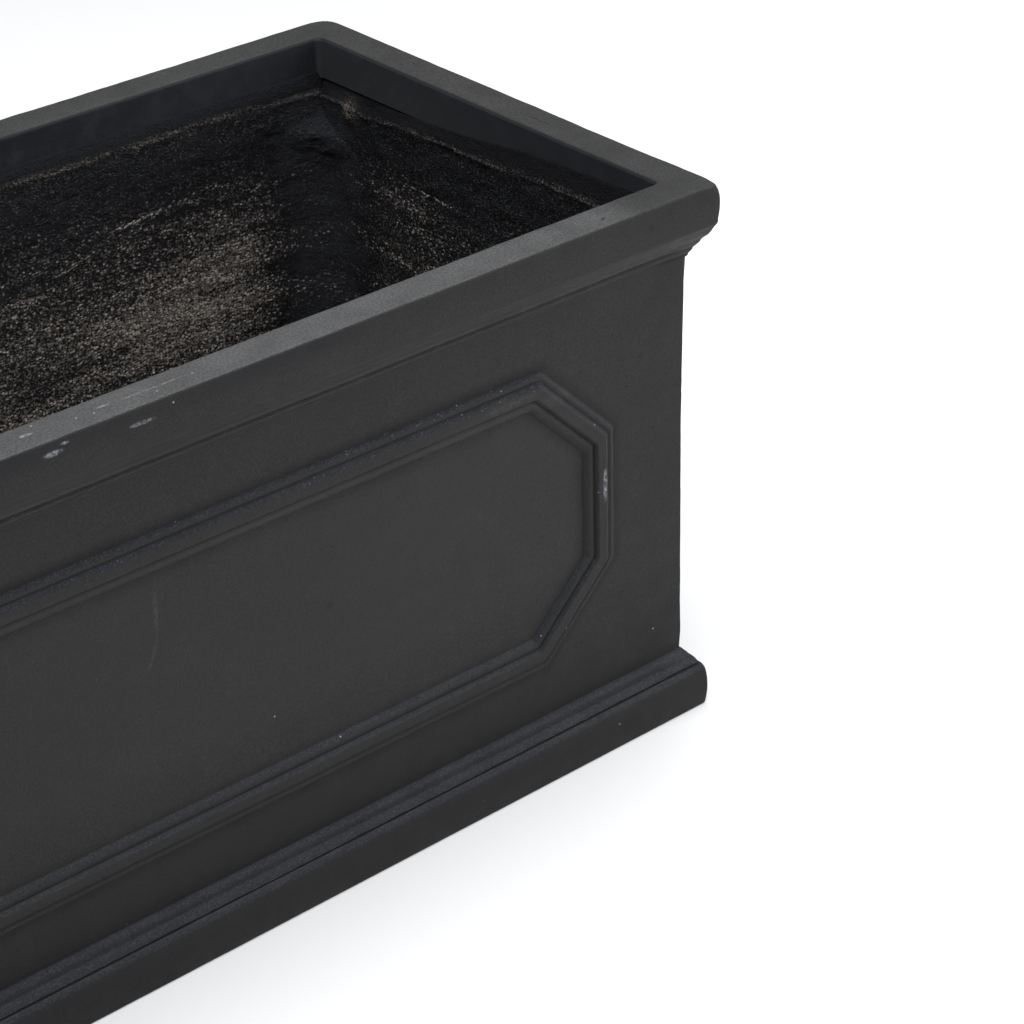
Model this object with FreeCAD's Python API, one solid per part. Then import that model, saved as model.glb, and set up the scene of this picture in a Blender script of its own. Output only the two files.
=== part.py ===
"""A rectangular trough planter in cast cement, laid up by hand in one mould.

A smooth face shell carries the cornice, the panel frames and the plinth, and a slab closes its base.
Glass mats and a rough backing coat are laid inside, the inside corners are packed with fillets, and
drain sleeves with loose rubber plugs go through the base. Millimetres, +Z up, front towards -Y, origin
under the middle.
"""
import math
import os

import FreeCAD, Part

Vector = FreeCAD.Vector

# Overall sizes, over the rim
length = 1000.0
depth = 417.0
height = 400.0

# Cornice: a bowed rim face, a sloped soffit down to an arris, and thin reeds below it
rim_width = 28.1
rim_reach = 16.6
rim_bow = 0.75
rim_top_round = 2.4
rim_low_round = 4.0
rim_low_tuck = 1.5
rim_face_height = 29.6
soffit_height = 6.6
soffit_bow = 0.25
arris_reach = 10.2
reed_height = 15.6
reed_bow = 0.45
lip_height = 30.0
lip_round = 2.0

# Plinth: a bowed foot face, a bead under a groove, and two sloped bands up to the body
plinth_reach = 13.9
plinth_bow = 1.2
plinth_face_height = 28.0
foot_round = 2.0
bead_height = 4.8
bead_reach = 10.8
bead_bow = 0.6
groove_depth = 2.0
groove_height = 1.4
band_reach = 9.5
band_fall = 6.0
band_run = 4.2
band_bow = 0.45
band_step = 0.8
band_step_height = 0.4
upper_band_fall = 5.6
upper_band_bow = 0.5

# Lay-up thicknesses, from the face inwards
skin = 7.0
mat = 1.2
coat = 7.0
base_skin = 12.0
floor_coat = 12.0
backing_bevel = 8.0

# Underside: the plinth stands as a foot ring round a recess
recess_height = 18.0
foot_width = 21.0

# Panel frames: a rectangle with cut corners on each face of the body
panel_side_margin = 62.7
panel_low_margin = 38.1
panel_high_margin = 38.9
panel_corner = 62.0
frame_root = 2.0

# Panel frame moulding, from its outer edge inwards
outer_bead_width = 4.0
outer_bead_rise = 2.5
outer_bead_bow = 0.7
quirk_width = 3.4
quirk_drop = 1.2
shoulder_width = 3.6
shoulder_bow = 0.7
crest_width = 4.6
crest_rise = 4.9
crest_slope_width = 4.0
crest_slope_drop = 3.0
crest_slope_bow = 0.6
inner_groove_width = 1.2
inner_bead_step = 0.9
inner_bead_width = 6.8
inner_bead_bow = 1.1

# Packed inside corners, wider towards the floor
corner_top_leg = 15.0
corner_low_leg = 58.0
corner_hollow_radius = 80.0
corner_top_drop = 24.0

# Drains
drain_pitch = 300.0
drain_bore = 30.0
sleeve_wall = 2.0
sleeve_clearance = 0.1
plug_clearance = 0.3
plug_shank = 12.0
plug_taper = 1.4
plug_head_width = 46.0
plug_head_height = 3.6
plug_neck_width = 10.0
plug_neck_height = 5.6
plug_knob_width = 17.0
plug_knob_height = 5.4

# How far cutting shapes run past what they cut
overrun = 5.0

# Sagitta of a quarter circle, as a share of its radius
quarter_share = 1.0 - math.cos(math.pi / 4.0)

# Corners of the cornice's reeds: shares of the arris's reach and of the reeds' height, going up, and
# whether a hollow leads there
reed_shares = ((0.12, 0.14, 1.0), (0.35, 0.32, 0.0), (0.38, 0.43, 0.0),
               (0.57, 0.58, 0.0), (0.63, 0.69, 0.0), (1.00, 1.00, 1.0))

body_x = length / 2.0 - rim_reach - rim_bow
body_y = depth / 2.0 - rim_reach - rim_bow
lip_inset = rim_width - rim_reach
lip_low = height - lip_height
cornice_low = height - rim_face_height - soffit_height - reed_height
plinth_high = (plinth_face_height + bead_height + groove_height + band_fall + band_step_height
               + upper_band_fall)
base_high = recess_height + base_skin
floor_high = base_high + mat + floor_coat
backing_inset = skin + mat + coat
drain_places = {"left": -drain_pitch, "middle": 0.0, "right": drain_pitch}


def outline_wire(points, place):
    """Closed wire through (across, up, bow) points, bow being the rise of the arc that leads there.

    A positive bow swells to the right of the way that the outline runs, and none is a straight line.
    """
    edges = []
    for (across_a, up_a, _), (across_b, up_b, bow) in zip(points, points[1:] + points[:1]):
        start = place(across_a, up_a)
        end = place(across_b, up_b)
        if bow == 0.0:
            edges.append(Part.makeLine(start, end))
            continue
        run = math.hypot(across_b - across_a, up_b - up_a)
        middle = place((across_a + across_b) / 2.0 + bow * (up_b - up_a) / run,
                       (up_a + up_b) / 2.0 - bow * (across_b - across_a) / run)
        edges.append(Part.Arc(start, middle, end).toShape())
    return Part.Wire(edges)


def mitred_bars(corners, section, outward, inward, low, high):
    """One bar of the section along each side of a counter-clockwise plan, mitred at its corners.

    The section is drawn as (distance inwards from the plan, height, bow) points.
    """
    sides = []
    for corner, following in zip(corners, corners[1:] + corners[:1]):
        along = (following - corner).normalize()
        sides.append((corner, following, along, Vector(-along.y, along.x, 0.0)))
    mitres = []
    for (_, _, _, in_before), (_, _, _, in_after) in zip(sides[-1:] + sides[:-1], sides):
        bisector = in_before + in_after
        mitres.append(bisector / bisector.dot(in_after))
    bars = []
    for index, (start, end, along, inside) in enumerate(sides):
        mitre_a = mitres[index]
        mitre_b = mitres[(index + 1) % len(mitres)]
        reach = along * (outward + inward)
        wire = outline_wire(section, lambda across, up: start - reach + inside * across + Vector(0, 0, up))
        bar = Part.Face(wire).extrude(end - start + reach + reach)
        floor = Vector(0.0, 0.0, low - overrun)
        plan = [start - mitre_a * outward, end - mitre_b * outward,
                end + mitre_b * inward, start + mitre_a * inward]
        plan = [point + floor for point in plan]
        sector = Part.Face(Part.makePolygon(plan + plan[:1]))
        bars.append(bar.common(sector.extrude(Vector(0.0, 0.0, high - low + overrun + overrun))))
    return bars


def joined(bars):
    """One solid from bars that meet at their mitres."""
    return bars[0].fuse(bars[1:]).removeSplitter()


def rectangle(half_x, half_y):
    """Counter-clockwise corners, starting with the front side."""
    return [Vector(-half_x, -half_y, 0.0), Vector(half_x, -half_y, 0.0),
            Vector(half_x, half_y, 0.0), Vector(-half_x, half_y, 0.0)]


def wall_section():
    """Section of the face shell's wall, from the inside of the foot, out and up, to the lip and down."""
    rim_low = height - rim_face_height
    bead_high = plinth_face_height + bead_height
    band_low = bead_high + groove_height
    band_middle = band_low + band_fall
    upper_band_low = band_middle + band_step_height
    middle_reach = band_reach - band_run
    upper_reach = middle_reach - band_step
    reeds = [(arris_reach * reach_share, cornice_low + reed_height * rise_share, -reed_bow * hollow_share)
             for reach_share, rise_share, hollow_share in reed_shares]
    outline = [
        (-foot_width, 0.0, 0.0),
        (plinth_reach - foot_round, 0.0, 0.0),
        (plinth_reach, foot_round, foot_round * quarter_share),
        (plinth_reach, plinth_face_height, plinth_bow),
        (bead_reach, bead_high, bead_bow),
        (bead_reach - groove_depth, bead_high, 0.0),
        (band_reach, band_low, 0.0),
        (middle_reach, band_middle, band_bow),
        (upper_reach, upper_band_low, 0.0),
        (0.0, plinth_high, upper_band_bow),
        (0.0, cornice_low, 0.0),
        *reeds,
        (rim_reach - rim_low_tuck, rim_low, soffit_bow),
        (rim_reach, rim_low + rim_low_round, rim_low_tuck * quarter_share),
        (rim_reach, height - rim_top_round, rim_bow),
        (rim_reach - rim_top_round, height, rim_top_round * quarter_share),
        (lip_round - lip_inset, height, 0.0),
        (-lip_inset, height - lip_round, lip_round * quarter_share),
        (-lip_inset, lip_low, 0.0),
        (-skin, lip_low, 0.0),
        (-skin, base_high, 0.0),
        (-foot_width, base_high, 0.0),
    ]
    return [(-out, up, -bow) for out, up, bow in outline]


def frame_section():
    """Section of the panel frame: an outer bead, a flat crest with two shoulders, and an inner bead."""
    shoulder_start = outer_bead_width + quirk_width
    crest_start = shoulder_start + shoulder_width
    crest_end = crest_start + crest_width
    groove_start = crest_end + crest_slope_width
    bead_start = groove_start + inner_groove_width
    quirk_rise = outer_bead_rise - quirk_drop
    groove_rise = crest_rise - crest_slope_drop
    return [
        (0.0, -frame_root, 0.0),
        (0.0, 0.0, 0.0),
        (outer_bead_width, outer_bead_rise, -outer_bead_bow),
        (shoulder_start, quirk_rise, 0.0),
        (crest_start, crest_rise, -shoulder_bow),
        (crest_end, crest_rise, 0.0),
        (groove_start, groove_rise, -crest_slope_bow),
        (bead_start, groove_rise + inner_bead_step, 0.0),
        (bead_start + inner_bead_width, 0.0, -inner_bead_bow),
        (bead_start + inner_bead_width, -frame_root, 0.0),
    ]


def panel_frame(body_width):
    """A frame lying on the XY plane, centred across the body, with its face towards +Z."""
    half = body_width / 2.0 - panel_side_margin
    low = plinth_high + panel_low_margin
    high = cornice_low - panel_high_margin
    corners = [Vector(panel_corner - half, low, 0.0), Vector(half - panel_corner, low, 0.0),
               Vector(half, low + panel_corner, 0.0), Vector(half, high - panel_corner, 0.0),
               Vector(half - panel_corner, high, 0.0), Vector(panel_corner - half, high, 0.0),
               Vector(-half, high - panel_corner, 0.0), Vector(-half, low + panel_corner, 0.0)]
    frame_width = (outer_bead_width + quirk_width + shoulder_width + crest_width + crest_slope_width
                   + inner_groove_width + inner_bead_width)
    return joined(mitred_bars(corners, frame_section(), overrun, frame_width + overrun,
                              -frame_root, crest_rise))


def stood_on_face(frame, turn, distance):
    """The frame stood upright on the body face that lies this far out, at this turn about Z."""
    upright = frame.copy()
    upright.rotate(Vector(0, 0, 0), Vector(1, 0, 0), 90.0)
    upright.translate(Vector(0.0, -distance, 0.0))
    upright.rotate(Vector(0, 0, 0), Vector(0, 0, 1), turn)
    return upright


def drain_cutter():
    """Cylinders that open the base for the drain sleeves."""
    radius = drain_bore / 2.0 + sleeve_wall + sleeve_clearance
    bores = [Part.makeCylinder(radius, floor_high + overrun + overrun, Vector(place, 0.0, -overrun))
             for place in drain_places.values()]
    return Part.makeCompound(bores)


def slab(half_x, half_y, low, thickness):
    """A flat layer centred on the origin."""
    return Part.makeBox(half_x * 2.0, half_y * 2.0, thickness, Vector(-half_x, -half_y, low))


def cast_shell():
    """The face casting: walls with cornice and plinth, and the four panel frames."""
    bars = mitred_bars(rectangle(body_x, body_y), wall_section(), rim_reach + overrun,
                       foot_width + overrun, 0.0, height)
    long_frame = panel_frame(body_x * 2.0)
    short_frame = panel_frame(body_y * 2.0)
    frames = [stood_on_face(long_frame, 0.0, body_y), stood_on_face(short_frame, 90.0, body_x),
              stood_on_face(long_frame, 180.0, body_y), stood_on_face(short_frame, 270.0, body_x)]
    return joined(bars).fuse(frames).removeSplitter()


def base_slab():
    """The slab that is cast inside the foot ring, round the drain sleeves."""
    plate = slab(body_x - foot_width, body_y - foot_width, recess_height, base_skin)
    return plate.cut(drain_cutter())


def wall_layers(section, inward):
    """Four mitred layers that follow the inside of the shell, by wall name."""
    bars = mitred_bars(rectangle(body_x, body_y), section, overrun, inward + overrun, base_high, lip_low)
    return dict(zip(("front", "right", "back", "left"), bars))


def wall_mats():
    """Glass mats against the inside of the face, up to the underside of the lip."""
    return wall_layers([(skin, base_high, 0.0), (skin, lip_low, 0.0),
                        (skin + mat, lip_low, 0.0), (skin + mat, base_high, 0.0)], skin + mat)


def wall_backings():
    """Trowelled coats over the mats, bevelled at the top from the lip's face to their own."""
    return wall_layers([(skin + mat, base_high, 0.0), (skin + mat, lip_low, 0.0),
                        (lip_inset, lip_low, 0.0), (backing_inset, lip_low - backing_bevel, 0.0),
                        (backing_inset, base_high, 0.0)], backing_inset)


def base_layer(low, thickness):
    """A layer on the base between the wall backings, open at the drains."""
    layer = slab(body_x - backing_inset, body_y - backing_inset, low, thickness)
    return layer.cut(drain_cutter())


def corner_fillet(side_x, side_y):
    """Mix packed into one inside corner: a post hollowed by a round float that leans back on its way up."""
    corner = Vector(side_x * (body_x - backing_inset), side_y * (body_y - backing_inset), 0.0)
    fillet_high = lip_low - corner_top_drop
    axis_points = []
    for leg, level in ((corner_low_leg, floor_high), (corner_top_leg, fillet_high)):
        set_off = (leg + math.sqrt(2.0 * corner_hollow_radius ** 2 - leg ** 2)) / 2.0
        axis_points.append(corner + Vector(-side_x * set_off, -side_y * set_off, level))
    low, high = axis_points
    lean = high - low
    post_width = abs(low.x - corner.x)
    post = Part.makeBox(post_width, post_width, fillet_high - floor_high,
                        Vector(min(low.x, corner.x), min(low.y, corner.y), floor_high))
    hollow = Part.makeCylinder(corner_hollow_radius, lean.Length + corner_hollow_radius * 2.0)
    hollow.translate(Vector(0.0, 0.0, -corner_hollow_radius))
    away = Vector(-side_x, -side_y, 0.0)
    turned = FreeCAD.Rotation(away, Vector(), lean, "ZXY")
    return post.cut(hollow.transformed(FreeCAD.Placement(low, turned).toMatrix()))


def drain_sleeve(place):
    """A tube cast through the base, flush with its underside and with the floor."""
    tube_height = floor_high - recess_height
    foot = Vector(place, 0.0, recess_height)
    tube = Part.makeCylinder(drain_bore / 2.0 + sleeve_wall, tube_height, foot)
    return tube.cut(Part.makeCylinder(drain_bore / 2.0, tube_height, foot))


def drain_plug(place):
    """A turned rubber plug: tapered shank in the sleeve, flat head on the floor and a pull knob on a neck."""
    shank = drain_bore / 2.0 - plug_clearance
    seat = floor_high + plug_clearance
    tip = seat - plug_shank
    head_high = seat + plug_head_height
    neck_high = head_high + plug_neck_height
    knob_high = neck_high + plug_knob_height
    neck = plug_neck_width / 2.0
    knob = plug_knob_width / 2.0
    head = plug_head_width / 2.0
    outline = [(0.0, tip), (shank - plug_taper, tip), (shank, seat), (head, seat), (head, head_high),
               (neck, head_high), (neck, neck_high), (knob, neck_high), (knob, knob_high), (0.0, knob_high)]
    corners = [Vector(place + across, 0.0, up) for across, up in outline]
    profile = Part.Face(Part.makePolygon(corners + corners[:1]))
    return profile.revolve(Vector(place, 0.0, 0.0), Vector(0, 0, 1), 360.0)


nodes = {"cast_shell": cast_shell(), "base_slab": base_slab()}
for wall, layer in wall_mats().items():
    nodes[f"{wall}_mat"] = layer
for wall, layer in wall_backings().items():
    nodes[f"{wall}_backing"] = layer
nodes["base_mat"] = base_layer(base_high, mat)
nodes["floor_backing"] = base_layer(base_high + mat, floor_coat)
for name_y, side_y in (("front", -1), ("back", 1)):
    for name_x, side_x in (("left", -1), ("right", 1)):
        nodes[f"corner_fillet_{name_y}_{name_x}"] = corner_fillet(side_x, side_y)
for name, place in drain_places.items():
    nodes[f"drain_sleeve_{name}"] = drain_sleeve(place)
    nodes[f"drain_plug_{name}"] = drain_plug(place)

os.makedirs("parts", exist_ok=True)
for name, shape in nodes.items():
    shape.exportStep(f"parts/{name}.step")
    box = shape.BoundBox
    print(name, "valid" if shape.isValid() else "NOT VALID", "solids", len(shape.Solids),
          "faces", len(shape.Faces), f"volume {shape.Volume:.0f}",
          f"x {box.XMin:.2f}..{box.XMax:.2f} y {box.YMin:.2f}..{box.YMax:.2f} z {box.ZMin:.2f}..{box.ZMax:.2f}")
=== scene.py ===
import math

import bmesh
import bpy
import numpy as np
from mathutils import Matrix, Vector, noise


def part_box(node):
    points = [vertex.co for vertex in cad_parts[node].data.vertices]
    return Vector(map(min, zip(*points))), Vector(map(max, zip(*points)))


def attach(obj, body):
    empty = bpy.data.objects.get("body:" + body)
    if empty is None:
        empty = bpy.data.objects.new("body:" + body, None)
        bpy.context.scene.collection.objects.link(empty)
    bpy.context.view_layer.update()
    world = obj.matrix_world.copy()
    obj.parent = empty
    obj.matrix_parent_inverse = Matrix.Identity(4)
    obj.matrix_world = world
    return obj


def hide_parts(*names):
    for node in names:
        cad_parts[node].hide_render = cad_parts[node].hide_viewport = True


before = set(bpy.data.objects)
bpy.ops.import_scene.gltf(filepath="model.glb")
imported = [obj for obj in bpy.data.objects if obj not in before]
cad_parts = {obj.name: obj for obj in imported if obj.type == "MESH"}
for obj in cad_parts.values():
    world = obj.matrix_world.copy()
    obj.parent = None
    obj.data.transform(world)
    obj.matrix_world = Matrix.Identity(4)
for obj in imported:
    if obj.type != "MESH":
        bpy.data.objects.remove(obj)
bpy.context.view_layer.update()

# Face shell: the walls, the cornice rim, the raised panel frames and the stepped plinth.
# Fine charcoal cement is brushed into one mould, so the mouldings run round in a single casting.
# Lengths here and below are in millimetres, from the floor and from the plain wall's outer face.

to_mm = 1000.0
face_thickness = 7.0
mat_low, mat_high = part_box("front_mat")
half_length = mat_high.x * to_mm + face_thickness
half_depth = face_thickness - mat_low.y * to_mm
rim_top = 400.0
rim_reach = 16.6
plinth_reach = 13.9
lip_inset = 11.5
lip_foot = 370.0
rubbed_reach = 0.4
skin = 1.0

# Going up the wall, over the rim, down the lip, under the foot and up the plinth:
# out from the plain wall, height, and how far the stretch up to there swells
wall_outline = [
    (0.0, 330.0, 0.0),
    (0.0, 348.2, 0.0),
    (0.6, 350.4, -0.2),
    (4.0, 353.0, 0.0),
    (4.3, 354.6, 0.1),
    (3.7, 356.3, 0.0),
    (6.1, 358.2, 0.0),
    (6.7, 359.6, 0.1),
    (10.4, 363.8, -0.35),
    (14.6, 369.6, 0.2),
    (rim_reach, 375.2, 0.8),
    (rim_reach, 397.6, 0.75),
    (14.2, rim_top, 0.7),
    (3.2 - lip_inset, rim_top, 0.0),
    (-lip_inset, 396.8, 0.94),
    (-lip_inset, lip_foot, 0.0),
    (-face_thickness, lip_foot, 0.0),
    (-face_thickness, 30.0, 0.0),
    (-21.0, 30.0, 0.0),
    (-21.0, 0.0, 0.0),
    (13.5, 0.0, 0.0),
    (plinth_reach, 0.5, 0.1),
    (plinth_reach, 28.0, 1.2),
    (10.8, 32.8, 0.6),
    (8.8, 32.8, 0.0),
    (9.5, 34.2, 0.0),
    (6.3, 38.9, 0.45),
    (4.8, 39.5, -0.2),
    (4.4, 41.6, 0.0),
    (0.0, 45.6, 0.7),
    (0.0, 60.0, 0.0),
]

# Across the panel frame, from outside it to its field: inward, out from the wall, and swell
frame_outline = [
    (-10.0, 0.0, 0.0),
    (0.0, 0.0, 0.0),
    (4.2, 3.1, -0.8),
    (6.7, 2.4, 0.0),
    (10.2, 5.2, -0.5),
    (16.4, 5.2, 0.0),
    (18.9, 2.5, -0.4),
    (20.6, 2.9, 0.0),
    (23.2, 2.7, -0.2),
    (27.2, 0.0, -0.3),
    (37.5, 0.0, 0.0),
]
panel_side_margin = 62.7
panel_low = 84.3
panel_high = 309.3
panel_corner = 62.0
mitre_round = 1.8
cell = 3.2

# How round the upright corners are in plan: the body, the rim's face, its top edge, the plinth and the lip
body_round = 1.0
rim_round = 2.0
rim_edge_round = 16.0
plinth_round = 2.5
lip_round = 5.5

# The hollows of plinth and cornice are choked with cement near the upright corners: height and filling
plinth_fill = (
    (31.0, 0.0), (33.5, 0.6), (35.0, 0.0), (38.5, 0.0), (39.6, 0.9), (41.6, 0.0),
    (43.5, -0.9), (45.5, -0.3), (47.0, 0.0),
)
cornice_fill = (
    (330.0, 0.0), (348.2, 2.2), (350.4, 1.6), (353.0, 0.0), (354.6, 0.1), (356.3, 2.0),
    (358.4, 1.2), (359.6, 1.3), (363.8, 1.2), (367.0, 0.6), (370.4, 0.0),
)
corner_fill_reach = 16.0


def drawn(outline, rubbed, step=0.1):
    """Close points along an outline of swelling stretches, with its corners rubbed round."""
    runs = []
    for (x0, y0, _), (x1, y1, swell) in zip(outline, outline[1:]):
        length = math.hypot(x1 - x0, y1 - y0)
        share = np.arange(max(2, round(length / step)))
        share = share / len(share)
        bulge = 4.0 * swell * share * (1.0 - share) / length
        runs.append(np.stack([
            x0 + (x1 - x0) * share + (y1 - y0) * bulge,
            y0 + (y1 - y0) * share - (x1 - x0) * bulge,
        ], axis=1))
    runs.append(np.array([outline[-1][:2]]))
    points = np.concatenate(runs)
    reach = round(rubbed / step)
    weights = np.hanning(2 * reach + 3)[1:-1]
    weights = weights / weights.sum()
    before = 2.0 * points[0] - points[reach:0:-1]
    after = 2.0 * points[-1] - points[-2:-reach - 2:-1]
    long_run = np.concatenate([before, points, after])
    return np.stack([np.convolve(long_run[:, axis], weights, "valid") for axis in (0, 1)], axis=1)


def turning(points, span=8):
    """How far the line turns left at each point, from -1 in a hollow to 1 on an arris."""
    ahead = np.roll(points, -span, axis=0) - points
    behind = points - np.roll(points, span, axis=0)
    angle = np.arctan2(
        behind[:, 0] * ahead[:, 1] - behind[:, 1] * ahead[:, 0],
        (behind * ahead).sum(axis=1))
    angle[:span] = 0.0
    angle[-span:] = 0.0
    return np.clip(angle / 0.9, -1.0, 1.0)


def thinned(points, slack=0.03):
    """The places of the points that are enough to follow the line within a slack."""
    kept = {0, len(points) - 1}
    spans = [(0, len(points) - 1)]
    while spans:
        first, last = spans.pop()
        if last - first < 2:
            continue
        chord = points[last] - points[first]
        away = points[first + 1:last] - points[first]
        distance = abs(away[:, 0] * chord[1] - away[:, 1] * chord[0]) / max(math.hypot(*chord), 1e-6)
        worst = int(distance.argmax())
        if distance[worst] > slack:
            middle = first + 1 + worst
            kept.add(middle)
            spans += [(first, middle), (middle, last)]
    return sorted(kept)


def spread(length):
    """Shares of an edge of a frame, even but for two close places at each end for its rounded mitre."""
    near = mitre_round / length
    count = 2 * round(length / (2.0 * cell))
    inner = np.linspace(near, 1.0 - near, count + 1)
    return np.concatenate([[0.0, 0.5 * near], inner, [1.0 - 0.5 * near, 1.0]])


def net(rows, columns, first=0, round_rows=False, round_columns=False):
    """Four-cornered faces over a net of points numbered along its rows."""
    row = np.arange(rows if round_rows else rows - 1)
    column = np.arange(columns if round_columns else columns - 1)
    row, column = np.meshgrid(row, column, indexing="ij")
    next_row = (row + 1) % rows
    next_column = (column + 1) % columns
    return first + np.stack([
        row * columns + column,
        row * columns + next_column,
        next_row * columns + next_column,
        next_row * columns + column,
    ], axis=-1).reshape(-1, 4)


def piece(name, points, faces, marks=None, weld=0.0):
    """A smooth mesh in the scene from points in millimetres, with numbers marked on its points."""
    mesh = bpy.data.meshes.new(name)
    mesh.from_pydata((np.asarray(points) / to_mm).tolist(), [], [list(face) for face in faces])
    for mark, values in (marks or {}).items():
        layer = mesh.attributes.new(mark, "FLOAT", "POINT")
        layer.data.foreach_set("value", np.asarray(values, dtype=np.float32))
    work = bmesh.new()
    work.from_mesh(mesh)
    if weld:
        bmesh.ops.remove_doubles(work, verts=work.verts, dist=weld / to_mm)
    bmesh.ops.recalc_face_normals(work, faces=work.faces)
    for face in work.faces:
        face.smooth = True
    work.to_mesh(mesh)
    work.free()
    thing = bpy.data.objects.new(name, mesh)
    bpy.context.scene.collection.objects.link(thing)
    return thing


def numbers(rows, key, width=1):
    """The numbers that the rows of a mesh hold under a key."""
    values = np.empty(len(rows) * width, dtype=np.float32)
    rows.foreach_get(key, values)
    return values.reshape(-1, width)


def waves(spots, length, seed, stretch=(1.0, 1.0, 1.0)):
    """Soft seeded noise from about -1 to 1 at each spot, with waves of a length."""
    shift = Vector((13.7 * seed, 7.9 * seed, 3.1 * seed))
    scaled = spots / (length * np.array(stretch))
    return np.array([noise.noise(Vector(spot) + shift) for spot in scaled.tolist()])


def panel_ring(half_face, inward):
    """Points round a panel frame's octagon at a distance inward from its outer edge."""
    half = half_face - panel_side_margin
    slip = inward * (math.sqrt(2.0) - 1.0)
    rail = half - panel_corner - slip
    low, high = panel_low + inward, panel_high - inward
    side_low = panel_low + panel_corner + slip
    side_high = panel_high - panel_corner - slip
    edge = half - inward
    return np.array([
        (-rail, low), (rail, low), (edge, side_low), (edge, side_high),
        (rail, high), (-rail, high), (-edge, side_high), (-edge, side_low),
    ])


def panel_shares(half_face):
    """The shares along each of the octagon's eight edges, without each edge's last place."""
    rim = panel_ring(half_face, 0.0)
    sizes = np.hypot(*(np.roll(rim, -1, axis=0) - rim).T)
    return [spread(size)[:-1] for size in sizes]


def face_net(half_face, z_low, z_high):
    """Nets of one wall face: along, up, out and turning, from its border in to the panel's middle."""
    shares = panel_shares(half_face)
    reach = half_face - body_round
    line = drawn(frame_outline, rubbed_reach)
    turns = turning(line)
    chosen = thinned(line)
    corners = np.array([(-reach, z_low), (reach, z_low), (reach, z_high), (-reach, z_high)])

    def ring(inward):
        marks = panel_ring(half_face, inward)
        ahead = np.roll(marks, -1, axis=0)
        points = [a + (b - a) * s[:, None] for a, b, s in zip(marks, ahead, shares)]
        starts = np.cumsum([0] + [len(run) for run in points])[:-1]
        points = np.concatenate(points)
        flat = points.copy()
        count = len(points)
        for i in starts:
            a, b, c = flat[(i - 2) % count], flat[i], flat[(i + 2) % count]
            for step, share in ((-1, 0.25), (0, 0.5), (1, 0.75)):
                points[(i + step) % count] = (
                    a * (1 - share) ** 2 + b * 2 * share * (1 - share) + c * share ** 2)
        return points

    # The octagon's corners pushed out to the face's border, and the border run through them and round
    marks = panel_ring(half_face, 0.0)
    marks[0:2, 1] = z_low
    marks[2:4, 0] = reach
    marks[4:6, 1] = z_high
    marks[6:8, 0] = -reach
    border = []
    for k, share in enumerate(shares):
        start, end = marks[k], marks[(k + 1) % 8]
        turn = corners[(k + 1) // 2 % 4] if k % 2 else 0.5 * (start + end)
        first = np.clip(share * 2.0, 0.0, 1.0)[:, None]
        second = np.clip(share * 2.0 - 1.0, 0.0, 1.0)[:, None]
        border.append(start + (turn - start) * first + (end - turn) * second)
    border = np.concatenate(border)

    rings = [(border, 0.0, 0.0), (0.5 * (border + ring(line[0, 0])), 0.0, 0.0)]
    rings += [(ring(line[i, 0]), line[i, 1], -turns[i]) for i in chosen]
    inner = rings[-1][0]
    middle = 0.5 * (panel_low + panel_high)
    ridge = half_face - panel_side_margin - (middle - panel_low)
    spine = np.stack([np.clip(inner[:, 0], -ridge, ridge), np.full(len(inner), middle)], axis=1)
    rings += [(inner + (spine - inner) * share, 0.0, 0.0) for share in (0.25, 0.5, 0.75, 1.0)]
    flat = np.concatenate([points for points, _, _ in rings])
    count = len(border)
    out = np.repeat([rise for _, rise, _ in rings], count)
    turns = np.repeat([turn for _, _, turn in rings], count)
    return flat, out, turns, len(rings), count, border


def onto_side(side, along, out, up):
    """Points of a face in the trough's own frame: side 0 is the front, then right, back and left."""
    half = half_length if side % 2 else half_depth
    ways = [(along, -half - out), (half + out, along), (-along, half + out), (-half - out, -along)]
    across, deep = ways[side]
    return np.stack([across, deep, up], axis=1)


band_low, band_high = wall_outline[-1][1], wall_outline[0][1]
shell_points = []
shell_turns = []
shell_faces = []
shell_size = 0
side_stops = {}
for side in range(4):
    half_face = half_length if side % 2 == 0 else half_depth
    flat, out, turns, rings, count, border = face_net(half_face, band_low, band_high)
    shell_points.append(onto_side(side, flat[:, 0], out, flat[:, 1]))
    shell_turns.append(turns)
    shell_faces.append(net(rings, count, shell_size, round_columns=True))
    shell_size += rings * count
    along = np.sort(border[border[:, 1] <= band_low + 1e-6][:, 0])
    side_stops[side] = along / along.max()
    rises = np.sort(border[border[:, 0] >= border[:, 0].max() - 1e-6][:, 1])

# The stations round the trough: shares of the straight sides, and arcs at the upright corners.
# Each has its share of the half length and of the arc's radius, the same for the depth, and a corner mark.
arc = np.linspace(0.0, 0.5 * math.pi, 6)
stations = []
for side in range(4):
    for stop in side_stops[side]:
        ways = [(stop, 0, -1, -1), (1, 1, stop, 0), (-stop, 0, 1, 1), (-1, -1, -stop, 0)]
        stations.append(ways[side] + (0.0,))
    x_way, y_way = [(1, -1), (1, 1), (-1, 1), (-1, -1)][side]
    for angle in arc[1:-1]:
        turn = angle - 0.5 * math.pi + 0.5 * math.pi * side
        stations.append((x_way, math.cos(turn), y_way, math.sin(turn), 0.4))
stations = np.array(stations)


def upright_round(outline):
    """How round in plan the upright corners are at each point of a wall outline."""
    out, up = outline[:, 0], outline[:, 1]
    cornice = np.interp(out, (0.0, rim_reach), (body_round, rim_round))
    eased = np.interp(up, (rim_top - 9.0, rim_top - 2.5, rim_top), (0.0, 0.2, 1.0))
    cornice = cornice + eased * np.clip(out / rim_reach, 0.5, 1.0) * (rim_edge_round - rim_round)
    plinth = np.interp(out, (0.0, plinth_reach), (body_round, plinth_round))
    outside = np.where(up > 0.5 * rim_top, cornice, plinth)
    return np.where((out < 0.0) & (up < rim_top - 1.0), lip_round, outside)


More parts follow.
